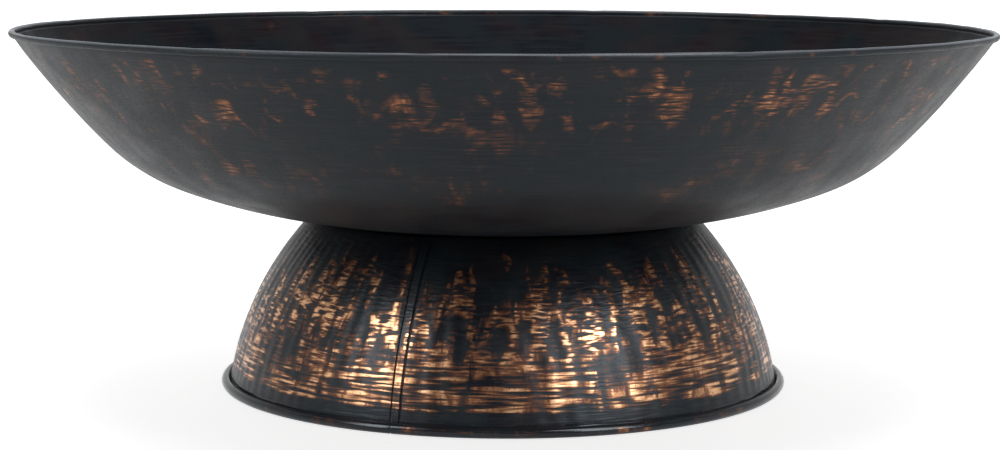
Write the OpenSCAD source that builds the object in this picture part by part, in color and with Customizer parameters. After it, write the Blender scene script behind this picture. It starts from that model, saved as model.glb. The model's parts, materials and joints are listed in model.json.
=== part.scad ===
// Round fire bowl on a domed pedestal, with a log grate that stands loose inside it.
// Millimetres, +Z up, with the origin on the ground below the centre of the bowl.
// The front is -Y. The grate's bars run along X and its lifting loops stand at +Y and -Y.

/* [Bowl] */
// Diameter over the rolled rim
rim_d = 850; // [760:5:1020]
// Height of the rim's wire above the underside of the flat bottom
bowl_depth = 162.4; // [135:0.1:195]
// Diameter of the flat bottom
flat_d = 237; // [195:1:285]
// Outside radius of the shallow curve around the flat bottom
crown_r = 475; // [395:5:570]
// Slope where the shallow curve ends, in degrees
crown_turn = 21; // [17.5:0.5:25]
// Outside radius of the tighter curve below the wall
knuckle_r = 160; // [130:1:192]
// Slope where the wall begins, in degrees
wall_turn = 45; // [38:0.5:54]
// Thickness of the bowl's sheet
bowl_sheet = 1.2; // [1:0.1:1.5]
// Diameter of the wire that the rim is rolled around
rim_wire_d = 3; // [2.5:0.1:5]
// Radius of the set-in that centres the roll over the wall
set_in_r = 3; // [2.5:0.1:5]
// Angle left open between the rim's cut edge and the wall, in degrees
rim_lip = 30; // [25:1:60]

/* [Pedestal] */
// Diameter over the rolled foot
foot_d = 498; // [415:1:600]
// Height of the bowl's seat above the ground
seat_h = 148; // [123:1:178]
// Outside radius of the dome's curve, from the side
dome_r = 265; // [220:1:320]
// Outside radius of the bend from the flange to the dome
shoulder_r = 6; // [5:0.5:8]
// Width of the flat flange that the bowl clamps
flange_w = 10; // [8:0.5:14]
// Thickness of the pedestal's sheet
skirt_sheet = 1.2; // [1:0.1:1.5]
// Diameter of the wire that the foot is rolled around
foot_wire_d = 6.2; // [5:0.1:7.5]
// Angle left open between the foot's cut edge and the dome, in degrees
foot_lip = 78; // [60:1:100]
// Depth trued off the underside of the foot so that it stands flat
foot_flat = 0.35; // [0.2:0.05:0.5]
// Width of the upright lock seam
seam_w = 6; // [5:0.5:8]
// Height of the lock seam above the sheet
seam_proud = 1; // [0.8:0.1:1.5]
// Turn of the lock seam to the left of the front, in degrees
seam_turn = 21; // [0:1:90]

/* [Seat plate and bolts] */
// Thickness of the seat plate
plate_t = 2.5; // [2:0.1:3]
// Number of bolts
bolt_count = 4; // [3:1:8]
// Distance from the edge of the flat bottom in to the bolts
bolt_inset = 23.5; // [15:0.5:30]
// Diameter of the bolts
bolt_d = 6; // [5:0.5:7]
// Length of the bolts below the head
bolt_len = 16; // [14:1:20]
// Width across the flats of the heads and nuts
hex_af = 10; // [9:0.5:12]
// Height of the bolt heads
head_h = 4; // [3.5:0.1:5]
// Height of the nuts
nut_h = 5; // [4:0.1:6]
// Diameter of the washers
washer_d = 12; // [11:0.5:14]
// Thickness of the washers
washer_t = 1.6; // [1.2:0.1:2]

/* [Grate] */
// Diameter over the grate's ring
grate_d = 480; // [400:5:575]
// Diameter of the rod of the ring and the legs
ring_rod = 8; // [7:0.5:10]
// Diameter of the rod of the bars and the braces
bar_rod = 6; // [5:0.5:7]
// Number of bars
bar_count = 11; // [9:2:13]
// Length that each bar runs past the middle of the ring's rod
bar_over = 3; // [1:0.5:4]
// Distance between the two braces
brace_gap = 160; // [130:5:195]
// Distance that each brace stops short of the ring
brace_short = 6; // [3:0.5:12]
// Height of the ring above the ball at the foot of each leg
leg_h = 50; // [42:1:60]
// Number of legs
leg_count = 4; // [3:1:5]
// Height of each leg's top above the middle of the ring
leg_top = 3; // [1:0.5:3]
// Distance between the posts of a lifting loop
loop_w = 100; // [83:1:120]
// Height of a loop's top rod above the middle of the ring
loop_h = 36; // [30:1:44]
// Radius of a loop's corners, to the middle of the rod
loop_bend = 20; // [12:1:26]
// Diameter of the rod of the loops
loop_rod = 6; // [5:0.5:8]
// Length of the posts below the middle of the ring
loop_foot = 4; // [2:0.5:8]

/* [Clearances] */
// Around each rolled-in wire
wire_gap = 0.1; // [0.05:0.05:0.2]
// Between the pedestal's flange and the bowl above it
flange_gap = 0.3; // [0.2:0.1:0.6]
// Around the seat plate, inside the shoulder bend
plate_gap = 0.5; // [0.3:0.1:1]
// Of a bolt in the bowl and the seat plate, across the hole
hole_gap = 0.6; // [0.4:0.1:1]
// Of a bolt in its washers, across the hole
washer_gap = 0.4; // [0.2:0.1:0.6]
// Of a bolt in its nut, across the thread
thread_gap = 0.1; // [0.05:0.05:0.2]
// Between the grate's legs and the bowl
rest_gap = 0.3; // [0.2:0.1:0.6]

/* [Hidden] */

$fn = 180;
// Greatest gap between a curve and the straight steps that stand for it
curve_sag = 0.04;

bowl_colour = "#34383f";
pedestal_colour = "#6b4a35";
wire_colour = "#8a8c8e";
plate_colour = "#55585a";
bolt_colour = "#b9bcbd";
grate_colour = "#26272a";

// A profile lies in the plane of radius and height, as [radius, height].
function dir(a) = [cos(a), sin(a)];
function angle_of(v) = atan2(v.y, v.x);
function backwards(list) = [for (i = [len(list) - 1:-1:0]) list[i]];
function steps(r, turn) = max(1, ceil(abs(turn) / (2 * acos(1 - curve_sag / r))));
function arc(c, r, from, to) =
  let (n = steps(r, to - from)) [for (i = [0:n]) c + r * dir(from + (to - from) * i / n)];

// One face of a bent sheet. Each bend is [centre, radius of the sheet's middle, from, to],
// and each begins where the last one ends. A positive side is on the left of the run.
function face(bends, side) = [
  for (k = [0:len(bends) - 1])
    let (b = bends[k], turn = b[3] - b[2], n = steps(b[1], turn), r = b[1] - sign(turn) * side)
      for (i = [min(k, 1):n]) b[0] + r * dir(b[2] + turn * i / n)
];

// A sheet that runs level from a radius to its first bend, then follows its bends
function sheet(from_r, level, bends, t) = concat(
  [[from_r, level + t]],
  face(bends, t / 2),
  backwards(face(bends, -t / 2)),
  [[from_r, level]]
);

// The point at given distances from p and q, on the right of the way from p to q
function meet(p, to_p, q, to_q) =
  let (d = norm(q - p), u = (q - p) / d, along = (to_p ^ 2 - to_q ^ 2 + d ^ 2) / (2 * d))
    p + along * u + sqrt(to_p ^ 2 - along ^ 2) * [u.y, -u.x];

// Bowl: flat, crown, knuckle, wall, then a set-in and the roll around the wire
rim_roll = rim_wire_d / 2 + wire_gap + bowl_sheet / 2;
rim_c = [rim_d / 2 - rim_roll - bowl_sheet / 2, seat_h + bowl_depth];
crown_c = [flat_d / 2, seat_h + crown_r];
knuckle_c = crown_c + (crown_r - knuckle_r) * dir(crown_turn - 90);
set_in = acos(set_in_r / (set_in_r + rim_roll));
set_in_run = (set_in_r + rim_roll) * sin(set_in);

// The wall is the arc that leaves the knuckle and points at the rim's wire at its end.
wall_start = knuckle_c + (knuckle_r - bowl_sheet / 2) * dir(wall_turn - 90);
wall_chord = rim_c - wall_start;
wall_r = (norm(wall_chord) ^ 2 - set_in_run ^ 2) / (2 * wall_chord * dir(wall_turn + 90));
wall_c = wall_start + wall_r * dir(wall_turn + 90);
wall_end = angle_of(rim_c - wall_c) - atan(set_in_run / wall_r);
rim_turn = wall_end + 90 * sign(wall_r);
set_in_c = rim_c - set_in_run * dir(rim_turn) + set_in_r * dir(rim_turn + 90);

bowl_bends = [
  [crown_c, crown_r - bowl_sheet / 2, -90, crown_turn - 90],
  [knuckle_c, knuckle_r - bowl_sheet / 2, crown_turn - 90, wall_turn - 90],
  [wall_c, abs(wall_r), wall_turn - 90 * sign(wall_r), wall_end],
  [set_in_c, set_in_r, rim_turn - 90, rim_turn - 90 + set_in],
  [rim_c, rim_roll, rim_turn + 90 + set_in, rim_turn - 180 + rim_lip]
];

// Pedestal: flange, shoulder, dome, then the roll around the wire
foot_roll = foot_wire_d / 2 + wire_gap + skirt_sheet / 2;
foot_bead = foot_roll + skirt_sheet / 2;
foot_c = [foot_d / 2 - foot_bead, foot_bead - foot_flat];
flange_rise = skirt_sheet + flange_gap;
flange_r = flat_d / 2 + sqrt(crown_r ^ 2 - (crown_r - flange_rise) ^ 2);
shoulder_c = [flange_r + flange_w, seat_h + skirt_sheet - shoulder_r];
dome_c = meet(shoulder_c, dome_r - shoulder_r, foot_c, dome_r - skirt_sheet / 2 + foot_roll);
dome_start = angle_of(shoulder_c - dome_c);
dome_end = angle_of(foot_c - dome_c);

skirt_bends = [
  [shoulder_c, shoulder_r - skirt_sheet / 2, 90, dome_start],
  [dome_c, dome_r - skirt_sheet / 2, dome_start, dome_end],
  [foot_c, foot_roll, dome_end + 180, dome_end + 540 - foot_lip]
];

// The seam runs from just above the foot's roll to the shoulder.
seam_low = asin((foot_c.y + foot_bead + seam_w / 2 - dome_c.y) / dome_r);
seam_root = skirt_sheet / 2;

// Bolts
bolt_r = flat_d / 2 - bolt_inset;
head_z = seat_h + bowl_sheet + washer_t;
nut_z = seat_h - plate_t - washer_t - nut_h;

// Grate
ring_r = (grate_d - ring_rod) / 2;
leg_r = ring_r - ring_rod;
leg_reach = crown_r - bowl_sheet - ring_rod / 2 - rest_gap;
leg_z = crown_c.y - sqrt(leg_reach ^ 2 - (leg_r - crown_c.x) ^ 2);
ring_z = leg_z + leg_h;
bar_z = ring_z + (ring_rod + bar_rod) / 2;
bar_pitch = 2 * ring_r / (bar_count + 1);
brace_z = bar_z - bar_rod;
brace_half = sqrt((ring_r - ring_rod / 2) ^ 2 - (brace_gap / 2) ^ 2) - brace_short;
loop_y = sqrt((ring_r + (ring_rod + loop_rod) / 2) ^ 2 - (loop_w / 2) ^ 2);

module at_bolts(z) {
  for (i = [0:bolt_count - 1])
    rotate(360 * (i + 0.5) / bolt_count) translate([bolt_r, 0, z]) children();
}

module wire_ring(c, d) {
  rotate_extrude() translate(c) circle(d = d);
}

module washer() {
  difference() {
    cylinder(d = washer_d, h = washer_t);
    translate([0, 0, -1]) cylinder(d = bolt_d + washer_gap, h = washer_t + 2);
  }
}

module hex(h) {
  cylinder(d = hex_af / cos(30), h = h, $fn = 6);
}

module bowl_shell() {
  color(bowl_colour) difference() {
    rotate_extrude() polygon(sheet(0, seat_h, bowl_bends, bowl_sheet));
    at_bolts(seat_h - 1) cylinder(d = bolt_d + hole_gap, h = bowl_sheet + 2);
  }
}

module rim_wire() {
  color(wire_colour) wire_ring(rim_c, rim_wire_d);
}

module seam_strip() {
  intersection() {
    rotate_extrude() polygon(concat(
      arc(dome_c, dome_r + seam_proud, seam_low, dome_start),
      arc(dome_c, dome_r - seam_root, dome_start, seam_low)
    ));
    rotate(-90 - seam_turn) translate([0, -seam_w / 2, 0]) cube([foot_d, seam_w, seat_h]);
  }
}

module pedestal_skirt() {
  color(pedestal_colour) difference() {
    union() {
      rotate_extrude() polygon(sheet(flange_r, seat_h, skirt_bends, skirt_sheet));
      seam_strip();
    }
    translate([0, 0, -foot_bead]) cylinder(d = foot_d + foot_bead, h = foot_bead);
  }
}

module foot_wire() {
  color(wire_colour) wire_ring(foot_c, foot_wire_d);
}

module seat_plate() {
  color(plate_colour) difference() {
    translate([0, 0, seat_h - plate_t]) cylinder(r = shoulder_c.x - plate_gap, h = plate_t);
    at_bolts(seat_h - plate_t - 1) cylinder(d = bolt_d + hole_gap, h = plate_t + 2);
  }
}

module seat_bolts() {
  color(bolt_colour) at_bolts(head_z) {
    hex(head_h);
    translate([0, 0, -bolt_len]) cylinder(d = bolt_d, h = bolt_len);
  }
}

module head_washers() {
  color(bolt_colour) at_bolts(head_z - washer_t) washer();
}

module nut_washers() {
  color(bolt_colour) at_bolts(nut_z + nut_h) washer();
}

module seat_nuts() {
  color(bolt_colour) at_bolts(nut_z) difference() {
    hex(nut_h);
    translate([0, 0, -1]) cylinder(d = bolt_d + thread_gap, h = nut_h + 2);
  }
}

module grate_ring() {
  color(grate_colour) wire_ring([ring_r, ring_z], ring_rod);
}

module grate_bar(i) {
  y = (i - (bar_count + 1) / 2) * bar_pitch;
  half = sqrt(ring_r ^ 2 - y ^ 2) + bar_over;
  color(grate_colour) translate([-half, y, bar_z])
    rotate([0, 90, 0]) cylinder(d = bar_rod, h = 2 * half);
}

module grate_brace(side) {
  color(grate_colour) translate([side * brace_gap / 2, brace_half, brace_z])
    rotate([90, 0, 0]) cylinder(d = bar_rod, h = 2 * brace_half);
}

module grate_leg(i) {
  color(grate_colour) rotate(360 * (i - 0.5) / leg_count) translate([leg_r, 0, leg_z]) {
    sphere(d = ring_rod);
    cylinder(d = ring_rod, h = leg_h + leg_top);
  }
}

module loop_half() {
  translate([loop_w / 2, 0, -loop_foot])
    cylinder(d = loop_rod, h = loop_foot + loop_h - loop_bend);
  translate([loop_w / 2 - loop_bend, 0, loop_h - loop_bend])
    rotate([90, 0, 0]) rotate_extrude(angle = 90) translate([loop_bend, 0]) circle(d = loop_rod);
  translate([0, 0, loop_h])
    rotate([0, 90, 0]) cylinder(d = loop_rod, h = loop_w / 2 - loop_bend);
}

module grate_loop(side) {
  color(grate_colour) translate([0, side * loop_y, ring_z]) {
    loop_half();
    mirror([1, 0, 0]) loop_half();
  }
}

bowl_shell();
rim_wire();
pedestal_skirt();
foot_wire();
seat_plate();
seat_bolts();
head_washers();
nut_washers();
seat_nuts();
grate_ring();
for (i = [1:bar_count])
  grate_bar(i);
for (i = [1:2])
  grate_brace(2 * i - 3);
for (i = [1:leg_count])
  grate_leg(i);
for (i = [1:2])
  grate_loop(2 * i - 3);
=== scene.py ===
import json
import math

import bmesh
import bpy
import numpy as np
from mathutils import Matrix, Vector

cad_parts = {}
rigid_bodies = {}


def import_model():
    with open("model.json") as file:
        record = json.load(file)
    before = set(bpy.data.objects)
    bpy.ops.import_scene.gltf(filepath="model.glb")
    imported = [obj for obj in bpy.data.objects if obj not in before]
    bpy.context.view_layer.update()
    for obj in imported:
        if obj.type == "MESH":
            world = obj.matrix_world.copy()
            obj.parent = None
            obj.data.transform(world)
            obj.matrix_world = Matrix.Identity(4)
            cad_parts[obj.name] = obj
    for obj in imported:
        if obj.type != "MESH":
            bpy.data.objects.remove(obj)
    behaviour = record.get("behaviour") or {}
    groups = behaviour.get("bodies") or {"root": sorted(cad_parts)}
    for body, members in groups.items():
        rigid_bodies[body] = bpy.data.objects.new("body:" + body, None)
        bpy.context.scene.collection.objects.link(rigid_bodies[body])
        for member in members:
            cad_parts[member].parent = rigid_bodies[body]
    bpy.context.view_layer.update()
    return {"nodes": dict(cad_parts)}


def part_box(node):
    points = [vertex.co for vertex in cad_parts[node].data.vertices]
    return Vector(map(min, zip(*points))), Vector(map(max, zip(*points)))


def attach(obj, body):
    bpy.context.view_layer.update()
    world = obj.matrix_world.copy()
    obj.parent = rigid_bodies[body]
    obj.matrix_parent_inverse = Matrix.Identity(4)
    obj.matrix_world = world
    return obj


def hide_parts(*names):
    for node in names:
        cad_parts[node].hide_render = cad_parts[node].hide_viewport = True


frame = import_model()


# ------------------------------------------------------------------ pedestal
# One sheet of copper, beaten over a stake to a dome-sided ring and closed by an
# upright lock seam. Its top edge is turned in to a flange that the bowl clamps,
# and its foot is rolled outwards around a steel wire.
mm = 0.001
foot_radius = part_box("pedestal_skirt")[1].x
seat_height = round(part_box("seat_plate")[1].z, 5)
foot_wire_low, foot_wire_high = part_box("foot_wire")
skirt_sheet = 1.2 * mm
wire_slack = 0.1 * mm
foot_roll = (foot_wire_high.z - foot_wire_low.z) / 2 + wire_slack + skirt_sheet / 2
foot_bead = foot_roll + skirt_sheet / 2
foot_centre = np.array([foot_radius - foot_bead, (foot_wire_low.z + foot_wire_high.z) / 2])
flange_inner = 156.2 * mm
flange_width = 10 * mm
shoulder_radius = 6 * mm
dome_radius = 265 * mm
foot_roll_turn = 282
skirt_flutes = 88
skirt_relief = 0.28 * mm
seam_turn = math.radians(-90 - 21)
seam_half = 3 * mm
seam_proud = 1.0 * mm
seam_crease = 0.8 * mm
seam_reach = 6 * mm


def way(degrees):
    """A unit step in the plane of radius and height."""
    return np.array([math.cos(math.radians(degrees)), math.sin(math.radians(degrees))])


def bent_sheet(from_radius, bends, spacing, tightest):
    """Rows along a sheet's middle: radius, height, the two parts of its left normal, and the
    length so far. Each bend is (centre, radius, from, to) in degrees, after a level start."""
    centre, radius, begin, _ = bends[0]
    corner = centre + radius * way(begin)
    level = max(2, math.ceil((corner[0] - from_radius) / (3 * spacing)))
    rows = [(from_radius + (corner[0] - from_radius) * i / level, corner[1], 0.0, 1.0)
            for i in range(level)]
    for centre, radius, begin, end in bends:
        turn = end - begin
        count = math.ceil(max(math.radians(abs(turn)) * radius / spacing, abs(turn) / tightest))
        side = -1 if turn > 0 else 1
        for i in range(count + (bends[-1][0] is centre)):
            at = begin + turn * i / count
            rows.append((*(centre + radius * way(at)), *(side * way(at))))
    rows = np.array(rows)
    steps = np.hypot(np.diff(rows[:, 0]), np.diff(rows[:, 1]))
    return np.column_stack([rows, np.concatenate([[0], np.cumsum(steps)])])


def both_faces(rows, sheet):
    """A loop around the sheet: its left face outwards, then its right face back.
    Adds a last column, which is 1 on the left face and -1 on the right."""
    left, right = rows.copy(), rows[::-1].copy()
    left[:, :2] += rows[:, 2:4] * sheet / 2
    right[:, :2] -= right[:, 2:4] * sheet / 2
    return np.vstack([np.column_stack([left, np.ones(len(left))]),
                      np.column_stack([right, -np.ones(len(right))])])


def turned(name, loop, angles, push, closed=True):
    """A mesh turned about the vertical axis. push(loop, angles) gives how far each point moves
    along the sheet's left normal and drops, in metres, and the height of the hammer work there.
    A row on the axis becomes one point. The mesh keeps that height, and the length along the
    sheet."""
    moved, drop, high = push(loop, angles)
    radius = loop[:, 0:1] + loop[:, 2:3] * moved
    height = np.maximum(loop[:, 1:2] + loop[:, 3:4] * moved - drop + 0 * angles, 0)
    points = np.stack([radius * np.cos(angles), radius * np.sin(angles), height], axis=-1)
    rows, columns = moved.shape
    index = np.arange(rows * columns).reshape(rows, columns)
    index[loop[:, 0] == 0] = index[loop[:, 0] == 0][:, :1]
    after = np.roll(index, -1, axis=0) if closed else index[1:]
    before = index if closed else index[:-1]
    quads = np.stack([before, after, np.roll(after, -1, 1), np.roll(before, -1, 1)], axis=-1)
    mesh = bpy.data.meshes.new(name)
    mesh.from_pydata(points.reshape(-1, 3).tolist(), [],
                     [list(dict.fromkeys(quad)) for quad in quads.reshape(-1, 4).tolist()])
    for label, value in (("hammered", high), ("run", loop[:, 4:5] + 0 * angles)):
        kept = mesh.attributes.new(label, "FLOAT", "POINT")
        kept.data.foreach_set("value", np.ravel(value).astype(np.float32))
    return finish_mesh(name, mesh)


def finish_mesh(name, mesh, sharp=42):
    """Drops loose points, shades smooth with sharp edges where the metal turns sharply,
    and puts the piece in the scene."""
    shape = bmesh.new()
    shape.from_mesh(mesh)
    loose = [point for point in shape.verts if not point.link_faces]
    bmesh.ops.delete(shape, geom=loose, context="VERTS")
    shape.to_mesh(mesh)
    shape.free()
    mesh.shade_smooth()
    mesh.set_sharp_from_angle(angle=math.radians(sharp))
    piece = bpy.data.objects.new(name, mesh)
    bpy.context.scene.collection.objects.link(piece)
    return piece


def planished(angles, length, flutes):
    """Height of the hammer's upright flutes and of the longer waves between them, from -1 to 1."""
    wander = 1.7 * np.sin(5 * angles + 0.6) + 1.1 * np.sin(13 * angles + 2.1 + 18 * length)
    flute = np.cos(flutes * angles + wander + 6 * np.sin(9 * length + 3 * angles))
    wave = np.sin(23 * angles + 31 * length) * np.sin(60 * length + 7 * angles + 1.0)
    return 0.6 * flute + 0.4 * wave


def meeting(p, to_p, q, to_q):
    """The point at given distances from p and q, on the right of the way from p to q."""
    gap = math.dist(p, q)
    ahead = (q - p) / gap
    along = (to_p ** 2 - to_q ** 2 + gap ** 2) / (2 * gap)
    return p + along * ahead + math.sqrt(to_p ** 2 - along ** 2) * np.array([ahead[1], -ahead[0]])


shoulder_centre = np.array([flange_inner + flange_width,
                            seat_height + skirt_sheet - shoulder_radius])
dome_centre = meeting(shoulder_centre, dome_radius - shoulder_radius,
                      foot_centre, dome_radius - skirt_sheet / 2 + foot_roll)
dome_start = math.degrees(math.atan2(*(shoulder_centre - dome_centre)[::-1]))
dome_end = math.degrees(math.atan2(*(foot_centre - dome_centre)[::-1]))
skirt_rows = bent_sheet(flange_inner, [
    (shoulder_centre, shoulder_radius - skirt_sheet / 2, 90, dome_start),
    (dome_centre, dome_radius - skirt_sheet / 2, dome_start, dome_end),
    (foot_centre, foot_roll, dome_end + 180, dome_end + 180 + foot_roll_turn),
], spacing=5 * mm, tightest=16)
dome_top = skirt_rows[np.argmax(skirt_rows[:, 2] > way(dome_start)[0] - 1e-6), 4]
dome_foot = dome_top + dome_radius * math.radians(dome_start - dome_end)


def ease(x, low, high):
    """0 at low, 1 at high and smooth between, whichever of the two is larger."""
    t = np.clip((x - low) / (high - low), 0, 1)
    return t * t * (3 - 2 * t)


def skirt_push(loop, angles):
    """Hammer work over the dome, the lock seam standing proud between two creases on the
    outside, and the open joint where the seam passes into the roll. Nothing drops."""
    length, face = loop[:, 4:5], loop[:, 5:6]
    dome = ease(length, dome_top, dome_top + 25 * mm) * ease(length, dome_foot, dome_foot - 14 * mm)
    high = planished(angles, length, skirt_flutes)
    across = (angles - seam_turn) * loop[:, 0:1]
    apart = np.abs(across + 0.25 * mm * np.sin(55 * length))
    strip = ease(apart, seam_half + 0.25 * mm, seam_half - 0.25 * mm)
    crease = ease(np.abs(apart - seam_half - 0.9 * mm), 1.1 * mm, 0.45 * mm)
    lower = ease(length, dome_top + 40 * mm, dome_foot - 30 * mm)
    seam_run = ease(length, dome_top + 2 * mm, dome_top + 5 * mm)
    seam_run = seam_run * ease(length, dome_foot - 1 * mm, dome_foot - 3.5 * mm) * (face > 0)
    folded = seam_run * (seam_proud * strip - seam_crease * crease)
    rolled = ease(length, dome_foot + 2 * mm, dome_foot + 5 * mm) * (face < 0)
    joint = 0.55 * mm * rolled * ease(np.abs(across + 1.5 * mm), 0.9 * mm, 0.25 * mm)
    return (skirt_relief * dome * (high - 1) + folded + joint, 0,
            high + seam_run * (3 * lower * strip - 8 * crease
                               - 2.5 * (1 - lower) * ease(apart, 9 * mm, 3 * mm)))


even_turns = np.linspace(-math.pi, math.pi, skirt_flutes * 8, endpoint=False)
seam_turns = seam_turn + np.linspace(-seam_reach, seam_reach, 49) / foot_radius
away_from_seam = np.abs(even_turns - seam_turn) > (seam_reach + 0.5 * mm) / foot_radius
skirt_turns = np.sort(np.concatenate([even_turns[away_from_seam], seam_turns]))
skirt_loop = both_faces(skirt_rows, skirt_sheet)
pedestal = turned("pedestal", skirt_loop, skirt_turns, skirt_push)


# The finish on every copper sheet: a blue-black patina, rubbed back to bright metal in level
# strokes that catch on the hammer's flutes. One group reckons it for the pedestal and the bowl.
dull_copper = (0.215, 0.084, 0.038)
bright_copper = (0.87, 0.515, 0.29)
copper_spot = (0.12, 0.040, 0.020)
half_rubbed = (0.050, 0.019, 0.010)
blue_black = (0.0018, 0.0021, 0.0042)
green_black = (0.0036, 0.0062, 0.0075)
grey_black = (0.0050, 0.0064, 0.0082)
red_black = (0.017, 0.0065, 0.0050)
# A blue-grey painted highlight, mixed into the top of the rolled rim and faintly into the foot bead.
painted_highlight_grey = (0.150, 0.158, 0.172)
cool_shine = (0.82, 0.92, 1.0, 1.0)


def reckon(tree, operation, *terms):
    """The output of one Math node, fed by sockets or plain numbers."""
    node = tree.nodes.new("ShaderNodeMath")
    node.operation = operation
    for socket, term in zip(node.inputs, terms):
        if isinstance(term, bpy.types.NodeSocket):
            tree.links.new(term, socket)
        else:
            socket.default_value = term
    return node.outputs[0]


def rise(tree, value, low, high, to_low=0.0, to_high=1.0):
    """A smooth step of value from low to high. Any of the numbers may be a socket."""
    node = tree.nodes.new("ShaderNodeMapRange")
    node.interpolation_type = "SMOOTHSTEP"
    for name, term in zip(("Value", "From Min", "From Max", "To Min", "To Max"),
                          (value, low, high, to_low, to_high)):
        if isinstance(term, bpy.types.NodeSocket):
            tree.links.new(term, node.inputs[name])
        else:
            node.inputs[name].default_value = term
    return node.outputs["Result"]


def grain(tree, where, size, detail=2.0, rough=0.55, torn=0.0):
    """Noise whose marks are as big as size, which may be one number or three."""
    stretch = tree.nodes.new("ShaderNodeVectorMath")
    stretch.operation = "MULTIPLY"
    sizes = size if isinstance(size, tuple) else (size, size, size)
    stretch.inputs[1].default_value = [1 / one for one in sizes]
    noise = tree.nodes.new("ShaderNodeTexNoise")
    noise.inputs["Scale"].default_value = 1.0
    noise.inputs["Detail"].default_value = detail
    noise.inputs["Roughness"].default_value = rough
    noise.inputs["Distortion"].default_value = torn
    tree.links.new(where, stretch.inputs[0])
    tree.links.new(stretch.outputs[0], noise.inputs["Vector"])
    return noise.outputs["Fac"]


def tint(tree, share, first, second):
    """A colour between two, which may each be a socket or red, green and blue."""
    node = tree.nodes.new("ShaderNodeMix")
    node.data_type = "RGBA"
    tree.links.new(share, node.inputs["Factor"])
    for name, colour in (("A", first), ("B", second)):
        socket = next(s for s in node.inputs if s.name == name and s.type == "RGBA")
        if isinstance(colour, bpy.types.NodeSocket):
            tree.links.new(colour, socket)
        else:
            socket.default_value = (*colour, 1.0)
    return next(s for s in node.outputs if s.type == "RGBA")


def mixed(tree, share, first, second):
    """A number between two."""
    return reckon(tree, "MULTIPLY_ADD", reckon(tree, "SUBTRACT", second, first), share, first)


def new_group(name, takes, gives):
    """An empty shader node group. takes is {name: default}, and gives is {name: socket type}."""
    tree = bpy.data.node_groups.new(name, "ShaderNodeTree")
    for label, value in takes.items():
        socket = tree.interface.new_socket(label, in_out="INPUT", socket_type="NodeSocketFloat")
        socket.default_value = value
    for label, kind in gives.items():
        tree.interface.new_socket(label, in_out="OUTPUT", socket_type=kind)
    return tree, tree.nodes.new("NodeGroupInput").outputs, tree.nodes.new("NodeGroupOutput").inputs


def place(tree):
    """Where a point is on the object, as a vector and as x, y and z."""
    where = tree.nodes.new("ShaderNodeTexCoord").outputs["Object"]
    split = tree.nodes.new("ShaderNodeSeparateXYZ")
    tree.links.new(where, split.inputs[0])
    return where, *split.outputs


def mark(tree, label):
    """A value that the mesh keeps at each point."""
    node = tree.nodes.new("ShaderNodeAttribute")
    node.attribute_name = label
    return node.outputs["Fac"]


patina, given, made = new_group(
    "rubbed_patina",
    {"Cover": 0.5, "Columns": 1.0, "Stroke": 1.0, "Long Strokes": 0.0, "Fineness": 1.0,
     "Warmth": 0.3, "Brightness": 1.0, "Tooling": 1.0, "Matt": 0.0},
    {"Colour": "NodeSocketColor", "Bare": "NodeSocketFloat", "Roughness": "NodeSocketFloat",
     "Relief": "NodeSocketFloat"})
# The marks lie on the sheet as it was before it was bent: around it at one girth, and along it.
spot, x, y, z = place(patina)
out = reckon(patina, "SQRT", reckon(patina, "ADD", reckon(patina, "MULTIPLY", x, x),
                                    reckon(patina, "MULTIPLY", y, y)))
girth = 0.22
wrap = patina.nodes.new("ShaderNodeCombineXYZ")
for socket, part in zip(wrap.inputs, (x, y)):
    patina.links.new(reckon(patina, "MULTIPLY", reckon(patina, "DIVIDE", part, out), girth), socket)
patina.links.new(mark(patina, "run"), wrap.inputs[2])
sized = patina.nodes.new("ShaderNodeVectorMath")
sized.operation = "SCALE"
patina.links.new(wrap.outputs[0], sized.inputs[0])
patina.links.new(given["Fineness"], sized.inputs["Scale"])
wrapped = sized.outputs[0]
short_stroke = grain(patina, wrapped, (13 * mm, 13 * mm, 2.8 * mm), detail=1.0, torn=0.3)
long_stroke = grain(patina, wrapped, (34 * mm, 34 * mm, 2.7 * mm), detail=1.0, torn=0.15)
stroke = mixed(patina, given["Long Strokes"], short_stroke, long_stroke)
hair = grain(patina, wrapped, (11 * mm, 11 * mm, 0.8 * mm), detail=2.0)
column = grain(patina, wrapped, (14 * mm, 14 * mm, 34 * mm), detail=2.0, rough=0.5, torn=0.9)
patch = grain(patina, wrapped, (44 * mm, 44 * mm, 50 * mm), detail=2.0)
fleck = grain(patina, spot, 2.0 * mm, detail=3.0)
drift = grain(patina, spot, 38 * mm, detail=2.0)
# Where the rubbing reached, as columns on the flutes, broken into patches; then the strokes in it.
ridge = reckon(patina, "MULTIPLY_ADD", mark(patina, "hammered"), 0.05, column)
ridge = reckon(patina, "SUBTRACT", ridge, 0.5)
columns = reckon(patina, "MULTIPLY", given["Columns"],
                 reckon(patina, "MULTIPLY_ADD", given["Long Strokes"], -0.45, 1.0))
zone = reckon(patina, "MULTIPLY_ADD", ridge, columns, reckon(patina, "SUBTRACT", given["Cover"], 0.5))
zone = reckon(patina, "MULTIPLY_ADD", reckon(patina, "SUBTRACT", patch, 0.5), 0.6, zone)
zone = reckon(patina, "MULTIPLY_ADD", reckon(patina, "SUBTRACT", fleck, 0.5), 0.18, zone)
dash = reckon(patina, "MULTIPLY_ADD", reckon(patina, "MINIMUM", zone, 0.35), 0.30,
              reckon(patina, "SUBTRACT", stroke, 0.505))
dash = reckon(patina, "MULTIPLY_ADD", reckon(patina, "SUBTRACT", hair, 0.5), 0.12, dash)
dash = reckon(patina, "MULTIPLY", dash, given["Stroke"])
over = reckon(patina, "MINIMUM", dash, reckon(patina, "ADD", zone, 0.06))
bare = rise(patina, over, -0.03, 0.15)
worn = rise(patina, over, -0.12, 0.02)
bright = reckon(patina, "MULTIPLY", rise(patina, over, 0.02, 0.27), given["Brightness"])
copper = tint(patina, bright, dull_copper, bright_copper)
copper = tint(patina, rise(patina, fleck, 0.58, 0.70), copper, copper_spot)
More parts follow.
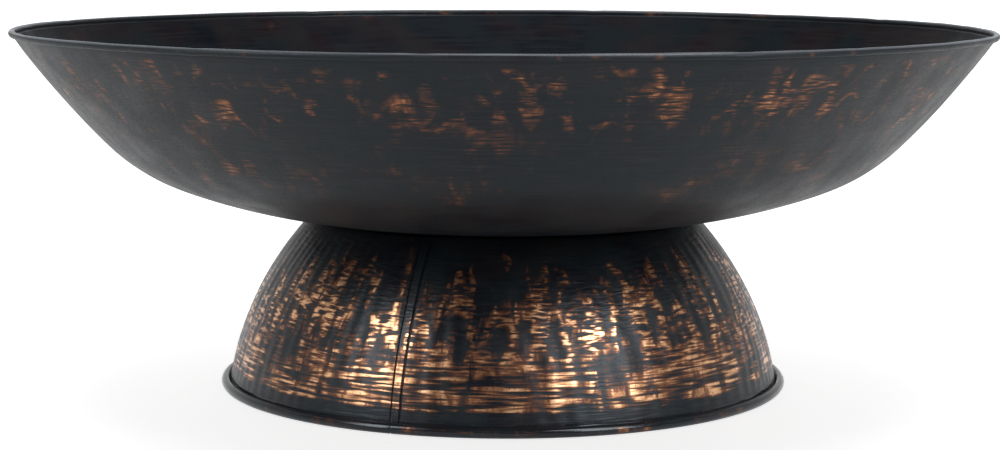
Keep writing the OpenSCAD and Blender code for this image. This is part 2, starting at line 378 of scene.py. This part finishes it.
dark = tint(patina, rise(patina, drift, 0.35, 0.65), blue_black, green_black)
dark = tint(patina, rise(patina, long_stroke, 0.40, 0.66), dark, grey_black)
dark = tint(patina, reckon(patina, "MULTIPLY", rise(patina, patch, 0.42, 0.62), given["Warmth"]),
            dark, red_black)
dark = tint(patina, reckon(patina, "MULTIPLY", worn, 0.85), dark, half_rubbed)
patina.links.new(tint(patina, bare, dark, copper), made["Colour"])
patina.links.new(bare, made["Bare"])
# How rough the skin is, and the fine relief of the strokes, scratches and pits.
shine = rise(patina, drift, 0.3, 0.7, 0.33, 0.43)
shine = reckon(patina, "ADD", shine, rise(patina, fleck, 0.3, 0.7, -0.04, 0.05))
shine = reckon(patina, "ADD", shine, given["Matt"])
patina.links.new(reckon(patina, "SUBTRACT", shine, reckon(patina, "MULTIPLY", bare, 0.03)),
                 made["Roughness"])
depth = reckon(patina, "ADD", reckon(patina, "MULTIPLY", hair, 0.00004),
               reckon(patina, "MULTIPLY", fleck, 0.00003))
tooled = reckon(patina, "MULTIPLY", stroke, given["Tooling"])
depth = reckon(patina, "MULTIPLY_ADD", tooled, 0.00035, depth)
patina.links.new(reckon(patina, "SUBTRACT", depth, reckon(patina, "MULTIPLY", bare, 0.00004)),
                 made["Relief"])


def new_material(name):
    """A material with an empty Principled surface."""
    material = bpy.data.materials.new(name)
    material.use_nodes = True
    return material, material.node_tree, material.node_tree.nodes["Principled BSDF"]


def raised(tree, surface, height):
    """Bump from a height in metres."""
    bump = tree.nodes.new("ShaderNodeBump")
    bump.inputs["Strength"].default_value = 1.0
    bump.inputs["Distance"].default_value = 1.0
    tree.links.new(height, bump.inputs["Height"])
    tree.links.new(bump.outputs[0], surface.inputs["Normal"])


def copper_finish(name, cover, gloss, painted_highlight_share=0.0, **values):
    """Patinated copper. cover(tree, z) gives how much of it is rubbed bare, how far the strokes run
    together into long ones, and where it is polished smoother and a grey painted highlight goes.
    gloss is how strongly the patina shines, and painted_highlight_share how far that grey shows."""
    material, tree, surface = new_material(name)
    _, _, _, z = place(tree)
    group = tree.nodes.new("ShaderNodeGroup")
    group.node_tree = patina
    for label, value in values.items():
        group.inputs[label].default_value = value
    bare_share, long_share, polish_and_painted_highlight = cover(tree, z)
    tree.links.new(bare_share, group.inputs["Cover"])
    tree.links.new(long_share, group.inputs["Long Strokes"])
    # Where it is polished, the skin is smoother and a grey painted highlight is mixed in as metal.
    painted_highlight = reckon(tree, "MULTIPLY", polish_and_painted_highlight, painted_highlight_share)
    tree.links.new(tint(tree, painted_highlight, group.outputs["Colour"], painted_highlight_grey),
                   surface.inputs["Base Color"])
    tree.links.new(reckon(tree, "MAXIMUM", painted_highlight, group.outputs["Bare"]),
                   surface.inputs["Metallic"])
    tree.links.new(reckon(tree, "MULTIPLY_ADD", polish_and_painted_highlight, -0.22, group.outputs["Roughness"]),
                   surface.inputs["Roughness"])
    surface.inputs["Specular IOR Level"].default_value = gloss
    surface.inputs["Specular Tint"].default_value = cool_shine
    raised(tree, surface, group.outputs["Relief"])
    return material


def pedestal_cover(tree, z):
    """Rubbed over the lower two thirds, and left dark just above the foot and under the bowl."""
    body = reckon(tree, "MULTIPLY", rise(tree, z, 0.160, 0.088), rise(tree, z, 0.014, 0.021))
    low_rows = reckon(tree, "MULTIPLY", rise(tree, z, 0.070, 0.036), rise(tree, z, 0.016, 0.021))
    bead = rise(tree, z, 0.010, 0.006)
    cover = reckon(tree, "ADD", reckon(tree, "MULTIPLY", body, 0.51),
                   reckon(tree, "MULTIPLY", low_rows, 0.06))
    # The third value is the foot bead: polished smoother, with a faint grey painted highlight.
    return (reckon(tree, "ADD", cover, reckon(tree, "MULTIPLY", bead, 0.30)),
            rise(tree, z, 0.085, 0.030), rise(tree, z, 0.0105, 0.0085))


def pedestal_inside_cover(tree, z):
    """Never rubbed, but for a few faint strokes."""
    return rise(tree, z, 0.15, 0.01, 0.06, 0.14), rise(tree, z, 0.15, 0.05, 0.0, 0.3), 0


pedestal.data.materials.append(
    copper_finish("pedestal_copper", pedestal_cover, gloss=0.32, painted_highlight_share=0.03,
                  Columns=1.5, Stroke=1.2, Warmth=0.2))
pedestal.data.materials.append(copper_finish("pedestal_inside", pedestal_inside_cover, gloss=0.15,
                                             Columns=0.4, Stroke=0.5, Warmth=0.3, Brightness=0.2,
                                             Tooling=0.3, Matt=0.1))
inner = (skirt_loop[:, 5] < 0) & (skirt_loop[:, 4] < dome_foot)
pedestal.data.polygons.foreach_set("material_index",
                                   np.repeat(inner, len(skirt_turns)).astype(np.int32))
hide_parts("pedestal_skirt")
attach(pedestal, "fire_bowl")


# --------------------------------------------------------------------- wires
# Drawn steel wire inside the rolled foot and the rolled rim, which stiffens both edges.
# Only a thin line of each shows, through the gap that the roll leaves.
def drawn_steel(name, colour, roughness):
    """Bare wire with a thin, darker mill scale."""
    material, tree, surface = new_material(name)
    where, _, _, _ = place(tree)
    scale = grain(tree, where, 4 * mm, detail=4.0)
    tree.links.new(tint(tree, rise(tree, scale, 0.4, 0.65), colour,
                        tuple(0.45 * part for part in colour)), surface.inputs["Base Color"])
    tree.links.new(rise(tree, scale, 0.3, 0.7, roughness, roughness + 0.2),
                   surface.inputs["Roughness"])
    surface.inputs["Metallic"].default_value = 1.0
    raised(tree, surface, reckon(tree, "MULTIPLY", scale, 0.00003))
    return material


wire_steel = drawn_steel("wire_steel", (0.35, 0.35, 0.36), 0.35)
for node in ("foot_wire", "rim_wire"):
    wire = frame["nodes"][node]
    wire.data.materials.clear()
    wire.data.materials.append(wire_steel)


# ---------------------------------------------------------------------- bowl
# One round sheet of copper, raised over a stake in long radial courses, then planished.
# The wall is set in just below the rim, and the edge is rolled outwards over its wire.
bowl_sheet = 1.2 * mm
rim_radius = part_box("bowl_shell")[1].x
rim_wire_low, rim_wire_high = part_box("rim_wire")
rim_roll = (rim_wire_high.z - rim_wire_low.z) / 2 + wire_slack + bowl_sheet / 2
rim_centre = np.array([rim_radius - rim_roll - bowl_sheet / 2,
                       (rim_wire_low.z + rim_wire_high.z) / 2])
flat_radius = 118.5 * mm
crown_radius, crown_turn = 475 * mm, 21
knuckle_radius, wall_turn = 160 * mm, 45
set_in_radius = 3 * mm
rim_roll_end = 150
bowl_flutes = 88
crown_centre = np.array([flat_radius, seat_height + crown_radius])
knuckle_centre = crown_centre + (crown_radius - knuckle_radius) * way(crown_turn - 90)
set_in = math.degrees(math.acos(set_in_radius / (set_in_radius + rim_roll)))
set_in_run = (set_in_radius + rim_roll) * math.sin(math.radians(set_in))
wall_start = knuckle_centre + (knuckle_radius - bowl_sheet / 2) * way(wall_turn - 90)
chord = rim_centre - wall_start
wall_radius = (chord @ chord - set_in_run ** 2) / (2 * chord @ way(wall_turn + 90))
wall_centre = wall_start + wall_radius * way(wall_turn + 90)
wall_end = math.degrees(math.atan2(*(rim_centre - wall_centre)[::-1])
                        - math.atan(set_in_run / wall_radius))
rim_turn = wall_end + 90
set_in_centre = rim_centre - set_in_run * way(rim_turn) + set_in_radius * way(rim_turn + 90)
bowl_rows = bent_sheet(0.0, [
    (crown_centre, crown_radius - bowl_sheet / 2, -90, crown_turn - 90),
    (knuckle_centre, knuckle_radius - bowl_sheet / 2, crown_turn - 90, wall_turn - 90),
    (wall_centre, wall_radius, wall_turn - 90, wall_end),
    (set_in_centre, set_in_radius, rim_turn - 90, rim_turn - 90 + set_in),
    (rim_centre, rim_roll, rim_turn + 90 + set_in, rim_turn - rim_roll_end),
], spacing=7 * mm, tightest=17)
rim_start = bowl_rows[np.argmax(np.diff(bowl_rows[:, 4]) < 2 * mm), 4]


def bowl_push(loop, angles):
    """Faint hammer work on the wall, and an edge that sways, chatters and has a few kinks."""
    length = loop[:, 4:5]
    body = ease(length, 250 * mm, 345 * mm) * ease(length, rim_start, rim_start - 16 * mm)
    high = planished(angles, length, bowl_flutes)
    dents = np.sin(17 * angles + 22 * length) * np.sin(11 * angles + 40 * length + 2.0)
    sway = np.sin(3 * angles + 0.8) + 0.7 * np.sin(7 * angles + 2.2) + 0.4 * np.sin(16 * angles)
    chatter = np.sin(61 * angles) * np.sin(23 * angles + 1.0) + np.sin(37 * angles + 0.5)
    kinks = sum(ease(np.abs((angles - at + math.pi) % (2 * math.pi) - math.pi), 0.030, 0.002)
                for at in rim_kinks)
    edge = ease(length, rim_start - 50 * mm, rim_start)
    drop = edge * mm * np.minimum(0.20 * (sway + 2.1) + 0.06 * (chatter + 2) + 0.35 * kinks, 1.1)
    return body * (0.07 * mm * high + 0.20 * mm * dents), drop, high


rim_kinks = [math.radians(at) for at in (-52, -66, -98, 31, 77, 118, 163, 204, 238)]
bowl_turns = np.linspace(-math.pi, math.pi, bowl_flutes * 6, endpoint=False)
bowl_loop = both_faces(bowl_rows, bowl_sheet)
bowl = turned("bowl", bowl_loop, bowl_turns, bowl_push, closed=False)


def bowl_cover(tree, z):
    """Short strokes over the wall, most of them in a band below the rim, and none underneath."""
    band = reckon(tree, "MULTIPLY", rise(tree, z, 0.249, 0.265), rise(tree, z, 0.305, 0.295))
    wall = reckon(tree, "MULTIPLY", rise(tree, z, 0.165, 0.205), rise(tree, z, 0.307, 0.300))
    rim = rise(tree, z, 0.3070, 0.3085)
    cover = reckon(tree, "ADD", reckon(tree, "MULTIPLY", band, 0.02),
                   reckon(tree, "MULTIPLY", wall, 0.29))
    # The third value is a band at the top of the rim: polished smoother, with a grey painted
    # highlight line.
    return (reckon(tree, "ADD", cover, reckon(tree, "MULTIPLY", rim, 0.20)),
            rise(tree, z, 0.266, 0.240, 0.0, 0.9), rise(tree, z, 0.3110, 0.3123))


def bowl_inside_cover(tree, z):
    """Hardly rubbed, and less towards the bottom."""
    # The third value is the same band at the top of the rim, with the same grey painted highlight.
    return (rise(tree, z, 0.150, 0.310, 0.10, 0.20), rise(tree, z, 0.1, 0.2, 0.0, 0.2),
            rise(tree, z, 0.3110, 0.3123))


bowl.data.materials.append(copper_finish("bowl_copper", bowl_cover, gloss=0.22, painted_highlight_share=0.6,
                                         Columns=1.0, Stroke=1.0, Fineness=1.35, Warmth=0.15,
                                         Brightness=0.4, Tooling=0.3, Matt=0.09))
bowl.data.materials.append(copper_finish("bowl_inside", bowl_inside_cover, gloss=0.05, painted_highlight_share=0.6,
                                         Columns=0.3, Stroke=0.5, Warmth=0.25, Brightness=0.1,
                                         Tooling=0.3, Matt=0.1))
inner = (bowl_loop[:-1, 5] > 0) & (bowl_loop[:-1, 4] < rim_start)
bowl.data.polygons.foreach_set("material_index", np.repeat(inner, len(bowl_turns)).astype(np.int32))
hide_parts("bowl_shell")
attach(bowl, "fire_bowl")


# ---------------------------------------------------------------- seat plate
# A disc cut from black-painted steel plate under the pedestal's flange. The bowl's flat
# bottom is bolted to it, so that the flange is clamped between the two.
def disc(name, low, high, radius, hole, softened, middle=(0, 0), sides=32):
    """A disc or washer with its four edges rounded over by softened."""
    inner = hole if hole else 0.0
    outer_way = [(radius - softened, low), (radius - 0.3 * softened, low + 0.3 * softened),
                 (radius, low + softened), (radius, high - softened),
                 (radius - 0.3 * softened, high - 0.3 * softened), (radius - softened, high)]
    inner_way = [(inner + softened, high), (inner + 0.3 * softened, high - 0.3 * softened),
                 (inner, high - softened), (inner, low + softened),
                 (inner + 0.3 * softened, low + 0.3 * softened), (inner + softened, low)]
    outline = outer_way + (inner_way if hole else [])
    around = np.linspace(0, 2 * math.pi, sides, endpoint=False)
    shape = bmesh.new()
    rings = [[shape.verts.new((middle[0] + r * math.cos(a), middle[1] + r * math.sin(a), h))
              for a in around] for r, h in outline]
    for k in range(len(rings) if hole else len(rings) - 1):
        this, that = rings[k], rings[(k + 1) % len(rings)]
        for i in range(sides):
            j = (i + 1) % sides
            shape.faces.new((this[i], this[j], that[j], that[i]))
    if not hole:
        shape.faces.new(rings[-1])
        shape.faces.new(list(reversed(rings[0])))
    mesh = bpy.data.meshes.new(name)
    shape.to_mesh(mesh)
    shape.free()
    return mesh


plate_low, plate_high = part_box("seat_plate")
bolt_circle = 95 * mm
bolt_turns = [math.radians(45 + 90 * i) for i in range(4)]
bolt_places = [(bolt_circle * math.cos(a), bolt_circle * math.sin(a)) for a in bolt_turns]
plate = finish_mesh("seat_plate_disc", disc("seat_plate_disc", plate_low.z, plate_high.z,
                                            plate_high.x, 0, 0.5 * mm, sides=192))
black_paint, tree, surface = new_material("plate_paint")
where, _, _, _ = place(tree)
speck = grain(tree, where, 1.1 * mm, detail=3.0)
cloud = grain(tree, where, 26 * mm, detail=4.0)
tree.links.new(tint(tree, rise(tree, cloud, 0.4, 0.7), (0.020, 0.020, 0.021),
                    (0.034, 0.033, 0.032)), surface.inputs["Base Color"])
tree.links.new(rise(tree, cloud, 0.3, 0.7, 0.46, 0.62), surface.inputs["Roughness"])
raised(tree, surface, reckon(tree, "MULTIPLY", speck, 0.00005))
plate.data.materials.append(black_paint)
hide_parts("seat_plate")
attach(plate, "fire_bowl")


# ------------------------------------------------- bolts, washers and nuts
# Four M6 sets, zinc plated. The heads are inside the bowl and the nuts under the plate,
# each over a washer.
bolt_radius, thread_depth, thread_pitch = 3 * mm, 0.55 * mm, 1 * mm
across_flats = 10 * mm
head_height = 4 * mm
plain_shank = 4.5 * mm
washer_radius, washer_gap = 6 * mm, 0.4 * mm
head_low, head_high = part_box("seat_bolts")[1].z - head_height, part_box("seat_bolts")[1].z
bolt_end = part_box("seat_bolts")[0].z
nut_low, nut_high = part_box("seat_nuts")[0].z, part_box("seat_nuts")[1].z


def joined(name, parts):
    """One mesh from several."""
    shape = bmesh.new()
    for part in parts:
        shape.from_mesh(part)
    mesh = bpy.data.meshes.new(name)
    shape.to_mesh(mesh)
    shape.free()
    return finish_mesh(name, mesh, sharp=35)


def hex_prism(low, high, hole, middle, twist):
    """A hexagon with its corners chamfered at both ends: a nut when it has a hole."""
    sides = 48
    around = np.arange(sides) * 2 * math.pi / sides
    flat = across_flats / 2 - 0.02 * mm
    reach = flat / np.cos((around + math.pi / 6) % (math.pi / 3) - math.pi / 6)
    rows = []
    for r_cap, h in ((0.94 * flat, low), (None, low), (None, high), (0.94 * flat, high)):
        if r_cap:
            rows.append((np.full(sides, r_cap), np.full(sides, h)))
        else:
            inwards = 0.57 * np.maximum(reach - 0.97 * flat, 0)
            rows.append((reach, h + inwards * (1 if h == low else -1)))
    if hole:
        rows.append((np.full(sides, hole + 0.5 * mm), np.full(sides, high)))
        rows.append((np.full(sides, hole), np.full(sides, high - 0.5 * mm)))
        rows.append((np.full(sides, hole), np.full(sides, low + 0.5 * mm)))
        rows.append((np.full(sides, hole + 0.5 * mm), np.full(sides, low)))
    shape = bmesh.new()
    rings = [[shape.verts.new((middle[0] + r * math.cos(a + twist),
                               middle[1] + r * math.sin(a + twist), h))
              for r, h, a in zip(*row, around)] for row in rows]
    for k in range(len(rings) if hole else len(rings) - 1):
        this, that = rings[k], rings[(k + 1) % len(rings)]
        for i in range(sides):
            j = (i + 1) % sides
            shape.faces.new((this[i], this[j], that[j], that[i]))
    if not hole:
        shape.faces.new(rings[-1])
        shape.faces.new(list(reversed(rings[0])))
    mesh = bpy.data.meshes.new("hexagon")
    shape.to_mesh(mesh)
    shape.free()
    return mesh


def threaded_rod(low, high, plain_from, middle):
    """A rod with a helical thread up to plain_from and a chamfered lower end."""
    sides = 32
    around = np.arange(sides) * 2 * math.pi / sides
    heights = np.arange(low, high + 1e-9, thread_pitch / 8)
    shape = bmesh.new()
    rings = []
    for h in heights:
        turnwise = (h / thread_pitch - around / (2 * math.pi)) % 1
        depth = thread_depth * np.abs(2 * turnwise - 1)
        depth = depth * ease(h, plain_from, plain_from - thread_pitch)
        radius = np.minimum(bolt_radius - depth, bolt_radius - 0.8 * mm + (h - low))
        rings.append([shape.verts.new((middle[0] + r * math.cos(a), middle[1] + r * math.sin(a), h))
                      for r, a in zip(radius, around)])
    for this, that in zip(rings, rings[1:]):
        for i in range(sides):
            j = (i + 1) % sides
            shape.faces.new((this[i], this[j], that[j], that[i]))
    shape.faces.new(rings[-1])
    shape.faces.new(list(reversed(rings[0])))
    mesh = bpy.data.meshes.new("rod")
    shape.to_mesh(mesh)
    shape.free()
    return mesh


zinc, tree, surface = new_material("zinc_plate")
where, _, _, _ = place(tree)
crystal = grain(tree, where, 1.6 * mm, detail=3.0)
stain = grain(tree, where, 9 * mm, detail=3.0)
tree.links.new(tint(tree, rise(tree, stain, 0.4, 0.7), (0.58, 0.59, 0.60), (0.40, 0.39, 0.37)),
               surface.inputs["Base Color"])
tree.links.new(rise(tree, crystal, 0.3, 0.7, 0.28, 0.46), surface.inputs["Roughness"])
surface.inputs["Metallic"].default_value = 1.0
raised(tree, surface, reckon(tree, "MULTIPLY", crystal, 0.00002))

fastener_rows = [
    ("bolts", "seat_bolts",
     [hex_prism(head_low, head_high, 0, at, 0.4 + 1.1 * i) for i, at in enumerate(bolt_places)]
     + [threaded_rod(bolt_end, head_low, head_low - plain_shank, at) for at in bolt_places]),
    ("nuts", "seat_nuts",
     [hex_prism(nut_low, nut_high, bolt_radius + 0.1 * mm, at, 0.1 + 0.9 * i)
      for i, at in enumerate(bolt_places)]),
]
for node in ("head_washers", "nut_washers"):
    low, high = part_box(node)
    fastener_rows.append((node + "_round", node,
                          [disc("washer", low.z, high.z, washer_radius, bolt_radius + washer_gap,
                                0.3 * mm, at, sides=48) for at in bolt_places]))
for name, node, parts in fastener_rows:
    piece = joined(name, parts)
    piece.data.materials.append(zinc)
    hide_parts(node)
    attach(piece, "fire_bowl")


# --------------------------------------------------------------------- grate
# A log grate of round steel rod, welded up and left as rolled, then greyed by the fire:
# a ring on four legs, two braces, eleven bars on top and a lifting loop at each end.
ring_low, ring_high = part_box("grate_ring")
ring_rod = 8 * mm
bar_rod = 6 * mm
ring_height = (ring_low.z + ring_high.z) / 2
ring_radius = ring_high.x - ring_rod / 2
rod_sides = 20
leg_circle = 232 * mm
loop_bend = 20 * mm
bar_weld, leg_weld, loop_weld = 4.2 * mm, 4.0 * mm, 3.6 * mm

heated, given, made = new_group(
    "fired_steel", {"Ash": 0.4},
    {"Colour": "NodeSocketColor", "Roughness": "NodeSocketFloat", "Relief": "NodeSocketFloat"})
spot, x, y, z = place(heated)
flake = grain(heated, spot, 3.2 * mm, detail=5.0, rough=0.65)
pit = grain(heated, spot, 1.0 * mm, detail=3.0)
soot = grain(heated, spot, 30 * mm, detail=3.0)
steel_colour = tint(heated, rise(heated, flake, 0.42, 0.62), (0.026, 0.025, 0.025),
                    (0.060, 0.050, 0.044))
steel_colour = tint(heated, rise(heated, pit, 0.62, 0.78), steel_colour, (0.105, 0.052, 0.030))
ashy = reckon(heated, "MULTIPLY", rise(heated, soot, 0.42, 0.68), given["Ash"])
heated.links.new(tint(heated, ashy, steel_colour, (0.17, 0.165, 0.16)), made["Colour"])
heated.links.new(rise(heated, flake, 0.3, 0.7, 0.48, 0.72), made["Roughness"])
heated.links.new(reckon(heated, "ADD", reckon(heated, "MULTIPLY", flake, 0.00012),
                        reckon(heated, "MULTIPLY", pit, 0.00006)), made["Relief"])


def fired(name, ash):
    """Rod that has been in the fire, with ash on it in places."""
    material, tree, surface = new_material(name)
    group = tree.nodes.new("ShaderNodeGroup")
    group.node_tree = heated
    group.inputs["Ash"].default_value = ash
    tree.links.new(group.outputs["Colour"], surface.inputs["Base Color"])
    tree.links.new(group.outputs["Roughness"], surface.inputs["Roughness"])
    surface.inputs["Metallic"].default_value = 0.55
    raised(tree, surface, group.outputs["Relief"])
    return material


grate_steel = fired("grate_steel", 0.45)
weld_steel = fired("weld_steel", 0.10)


def swept(name, way_points, radius, looped=False, rounded_start=False):
    """A round rod along a line of points, very slightly uneven, with its ends chamfered, or
    with a ball at its start."""
    line = np.array(way_points, dtype=float)
    if looped:
        heading = np.roll(line, -1, 0) - np.roll(line, 1, 0)
    else:
        heading = np.gradient(line, axis=0)
    heading /= np.linalg.norm(heading, axis=1)[:, None]
    span = line.max(axis=0) - line.min(axis=0)
    across = np.eye(3)[np.argmin(span)]
    travelled = np.concatenate([[0], np.cumsum(np.linalg.norm(np.diff(line, axis=0), axis=1))])
    thickness = radius * (1 - 0.008 * (1 + np.sin(travelled * 210 + line[0, 1] * 90)))
    middles, sizes, headings = list(line), list(thickness), list(heading)
    if not looped:
        chamfer = 0.16 * radius
        head, tail = heading[0], heading[-1]
        if rounded_start:
            ball = [math.radians(a) for a in (15, 32, 50, 68, 90)]
            middles = [line[0] - head * radius * math.cos(a) for a in ball[:-1]] + middles
            sizes = [radius * math.sin(a) for a in ball[:-1]] + sizes
            headings = [head] * (len(ball) - 1) + headings
        else:
            middles = [line[0], line[0] + head * chamfer] + middles[1:]
            sizes = [radius - chamfer, sizes[0]] + sizes[1:]
            headings = [head, head] + headings[1:]
        middles = middles[:-1] + [line[-1] - tail * chamfer, line[-1]]
        sizes = sizes[:-1] + [sizes[-1], radius - chamfer]
        headings = headings[:-1] + [tail, tail]
    shape = bmesh.new()
    rings = []
    for middle, size, ahead in zip(middles, sizes, headings):
        side = across - ahead * (across @ ahead)
        side /= np.linalg.norm(side)
        up = np.cross(ahead, side)
        rings.append([shape.verts.new(middle + size * (math.cos(a) * side + math.sin(a) * up))
                      for a in np.arange(rod_sides) * 2 * math.pi / rod_sides])
    for k in range(len(rings) if looped else len(rings) - 1):
        this, that = rings[k], rings[(k + 1) % len(rings)]
        for i in range(rod_sides):
            j = (i + 1) % rod_sides
            shape.faces.new((this[i], this[j], that[j], that[i]))
    if not looped:
        shape.faces.new(rings[-1])
        shape.faces.new(list(reversed(rings[0])))
    mesh = bpy.data.meshes.new(name)
    shape.to_mesh(mesh)
    shape.free()
    return finish_mesh(name, mesh, sharp=50)


def on_grate(piece, material, *nodes):
    """Makes a piece part of the loose grate, in place of the nodes."""
    piece.data.materials.append(material)
    if nodes:
        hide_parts(*nodes)
    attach(piece, "grate")


def straight(start, end, step=12 * mm):
    """Points along a straight line."""
    start, end = np.array(start, dtype=float), np.array(end, dtype=float)
    count = max(2, math.ceil(math.dist(start, end) / step))
    return [start + (end - start) * i / count for i in range(count + 1)]


ring_turns = np.linspace(0, 2 * math.pi, 180, endpoint=False)
ring = swept("ring", [(ring_radius * math.cos(a), ring_radius * math.sin(a), ring_height)
                      for a in ring_turns], ring_rod / 2, looped=True)
on_grate(ring, grate_steel, "grate_ring")

weld_places = []
for i in range(1, 12):
    low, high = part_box(f"grate_bar_{i}")
    level, across = (low.z + high.z) / 2, (low.y + high.y) / 2
    bar = swept(f"bar_{i}", straight((low.x, across, level), (high.x, across, level)), bar_rod / 2)
    on_grate(bar, grate_steel, f"grate_bar_{i}")
    reach = math.sqrt(ring_radius ** 2 - across ** 2)
    for side in (-1, 1):
        weld_places.append(((side * reach, across, level - bar_rod / 2), (1, 0, 0), bar_weld))
for i in (1, 2):
    low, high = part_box(f"grate_brace_{i}")
    level, across = (low.z + high.z) / 2, (low.x + high.x) / 2
    brace = swept(f"brace_{i}", straight((across, low.y, level), (across, high.y, level)),
                  bar_rod / 2)
    on_grate(brace, grate_steel, f"grate_brace_{i}")

for i in range(1, 5):
    low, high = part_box(f"grate_leg_{i}")
    middle = ((low.x + high.x) / 2, (low.y + high.y) / 2)
    leg = swept(f"leg_{i}", straight((*middle, low.z + ring_rod / 2), (*middle, high.z), 6 * mm),
                ring_rod / 2, rounded_start=True)
    on_grate(leg, grate_steel, f"grate_leg_{i}")
    out = math.radians(90 * i - 45)
    weld_places.append(((leg_circle * math.cos(out), leg_circle * math.sin(out), ring_height),
                        (-math.sin(out), math.cos(out), 0), leg_weld))

for i, side in ((1, -1), (2, 1)):
    low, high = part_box(f"grate_loop_{i}")
    across, half, top = (low.y + high.y) / 2, high.x - bar_rod / 2, high.z - bar_rod / 2
    line = straight((-half, across, low.z), (-half, across, top - loop_bend), 8 * mm)
    for at in range(168, 89, -12):
        step = way(at) * loop_bend
        line.append(np.array((-half + loop_bend + step[0], across, top - loop_bend + step[1])))
    line += straight((-half + loop_bend, across, top), (half - loop_bend, across, top))[1:]
    for at in range(78, -1, -12):
        step = way(at) * loop_bend
        line.append(np.array((half - loop_bend + step[0], across, top - loop_bend + step[1])))
    line += straight((half, across, top - loop_bend), (half, across, low.z), 8 * mm)[1:]
    loop = swept(f"lifting_loop_{i}", line, bar_rod / 2)
    on_grate(loop, grate_steel, f"grate_loop_{i}")
    for end in (-1, 1):
        weld_places.append(((end * half, side * (abs(across) - 2.6 * mm), ring_height),
                            (0, 0, 1), loop_weld))


def weld_bead(shape, middle, along, size, seed):
    """A short weld: a row of overlapping ripples laid along a direction, as one closed skin."""
    along = np.array(along, dtype=float)
    side = np.cross(along, (0.0, 0.0, 1.0))
    side = side / np.linalg.norm(side) if np.linalg.norm(side) > 0.1 else np.array((1.0, 0.0, 0.0))
    up = np.cross(along, side)
    stations = np.linspace(-1, 1, 15)
    rings = []
    for t in stations[1:-1]:
        ripple = 1 + 0.06 * math.cos(t * 14 + seed)
        r = size * 0.52 * math.sqrt(1 - t * t) * ripple
        rings.append([shape.verts.new(np.array(middle) + along * size * t
                                      + r * (math.cos(a) * side + math.sin(a) * up))
                      for a in np.arange(12) * math.pi / 6])
    for this, that in zip(rings, rings[1:]):
        for i in range(12):
            j = (i + 1) % 12
            shape.faces.new((this[i], this[j], that[j], that[i]))
    shape.faces.new(rings[-1])
    shape.faces.new(list(reversed(rings[0])))


shape = bmesh.new()
for seed, (middle, along, size) in enumerate(weld_places):
    weld_bead(shape, middle, along, size, seed)
weld_mesh = bpy.data.meshes.new("grate_welds")
shape.to_mesh(weld_mesh)
shape.free()
on_grate(finish_mesh("grate_welds", weld_mesh), weld_steel)


# -------------------------------------------------------- floor, light, camera
# A plain pale studio floor, two large softboxes in front, a bright surround at the sides
# and behind, and a darker ceiling in front, so that the rubbed copper stands out.
floor_mesh = bpy.data.meshes.new("floor")
far = 60.0
floor_mesh.from_pydata([(-far, -far, 0), (far, -far, 0), (far, far, 0), (-far, far, 0)], [],
                       [(0, 1, 2, 3)])
floor = bpy.data.objects.new("floor", floor_mesh)
bpy.context.scene.collection.objects.link(floor)
pale, tree, surface = new_material("pale_floor")
where, _, _, _ = place(tree)
tree.links.new(tint(tree, grain(tree, where, 0.5, detail=3.0), (0.93, 0.93, 0.93),
                    (0.96, 0.96, 0.96)), surface.inputs["Base Color"])
surface.inputs["Roughness"].default_value = 0.9
surface.inputs["Specular IOR Level"].default_value = 0.2
surface.inputs["Emission Color"].default_value = (1, 1, 1, 1)
surface.inputs["Emission Strength"].default_value = 0.78
floor.data.materials.append(pale)


lit = bpy.data.collections.new("lit_by_softboxes")
bpy.context.scene.collection.children.link(lit)
for piece in bpy.context.scene.collection.objects:
    if piece.type == "MESH" and piece is not floor:
        lit.objects.link(piece)


def softbox(name, turn, height, distance, size, power):
    """A large light that faces the object from a turn about it, in degrees, and is flagged off
    the floor."""
    lamp = bpy.data.lights.new(name, "AREA")
    lamp.shape = "RECTANGLE"
    lamp.size, lamp.size_y = size
    lamp.energy = power
    light = bpy.data.objects.new(name, lamp)
    spot = Vector((distance * math.sin(math.radians(turn)),
                   -distance * math.cos(math.radians(turn)), height))
    light.location = spot
    light.rotation_euler = (Vector((0, 0, 0.12)) - spot).to_track_quat("-Z", "Y").to_euler()
    bpy.context.scene.collection.objects.link(light)
    light.light_linking.receiver_collection = lit


softbox("softbox_left", -54, 1.9, 2.2, (0.8, 2.9), 70)
softbox("softbox_right", 42, 1.9, 2.2, (1.3, 2.9), 112)

world = bpy.data.worlds.new("studio")
bpy.context.scene.world = world
world.use_nodes = True
tree = world.node_tree
sky = tree.nodes["Background"]
looking = tree.nodes.new("ShaderNodeTexCoord").outputs["Generated"]
split = tree.nodes.new("ShaderNodeSeparateXYZ")
tree.links.new(looking, split.inputs[0])
behind, up = split.outputs[1], split.outputs[2]
around = reckon(tree, "MULTIPLY", rise(tree, behind, -0.35, 0.25),
                rise(tree, up, 0.30, 0.60, 0.64, 0.48))
above = reckon(tree, "MULTIPLY", rise(tree, up, 0.93, 0.99), 3.0)
around = reckon(tree, "ADD", around, above)
low = reckon(tree, "MULTIPLY", rise(tree, up, 0.28, 0.02), 0.12)
tree.links.new(reckon(tree, "ADD", reckon(tree, "ADD", around, low), 0.06),
               sky.inputs["Strength"])
sky.inputs["Color"].default_value = (1, 1, 1, 1)

camera_data = bpy.data.cameras.new("camera")
camera_data.lens = 84.0
camera_data.sensor_width = 36.0
camera_data.dof.use_dof = False
camera = bpy.data.objects.new("camera", camera_data)
bpy.context.scene.collection.objects.link(camera)
camera.matrix_world = (Matrix.Translation((-0.0030, -2.047, 0.4015))
                       @ Matrix.Rotation(math.radians(82.67), 4, "X")
                       @ Matrix.Rotation(math.radians(0.2), 4, "Z"))
bpy.context.scene.camera = camera
bpy.context.scene.view_settings.view_transform = "Standard"
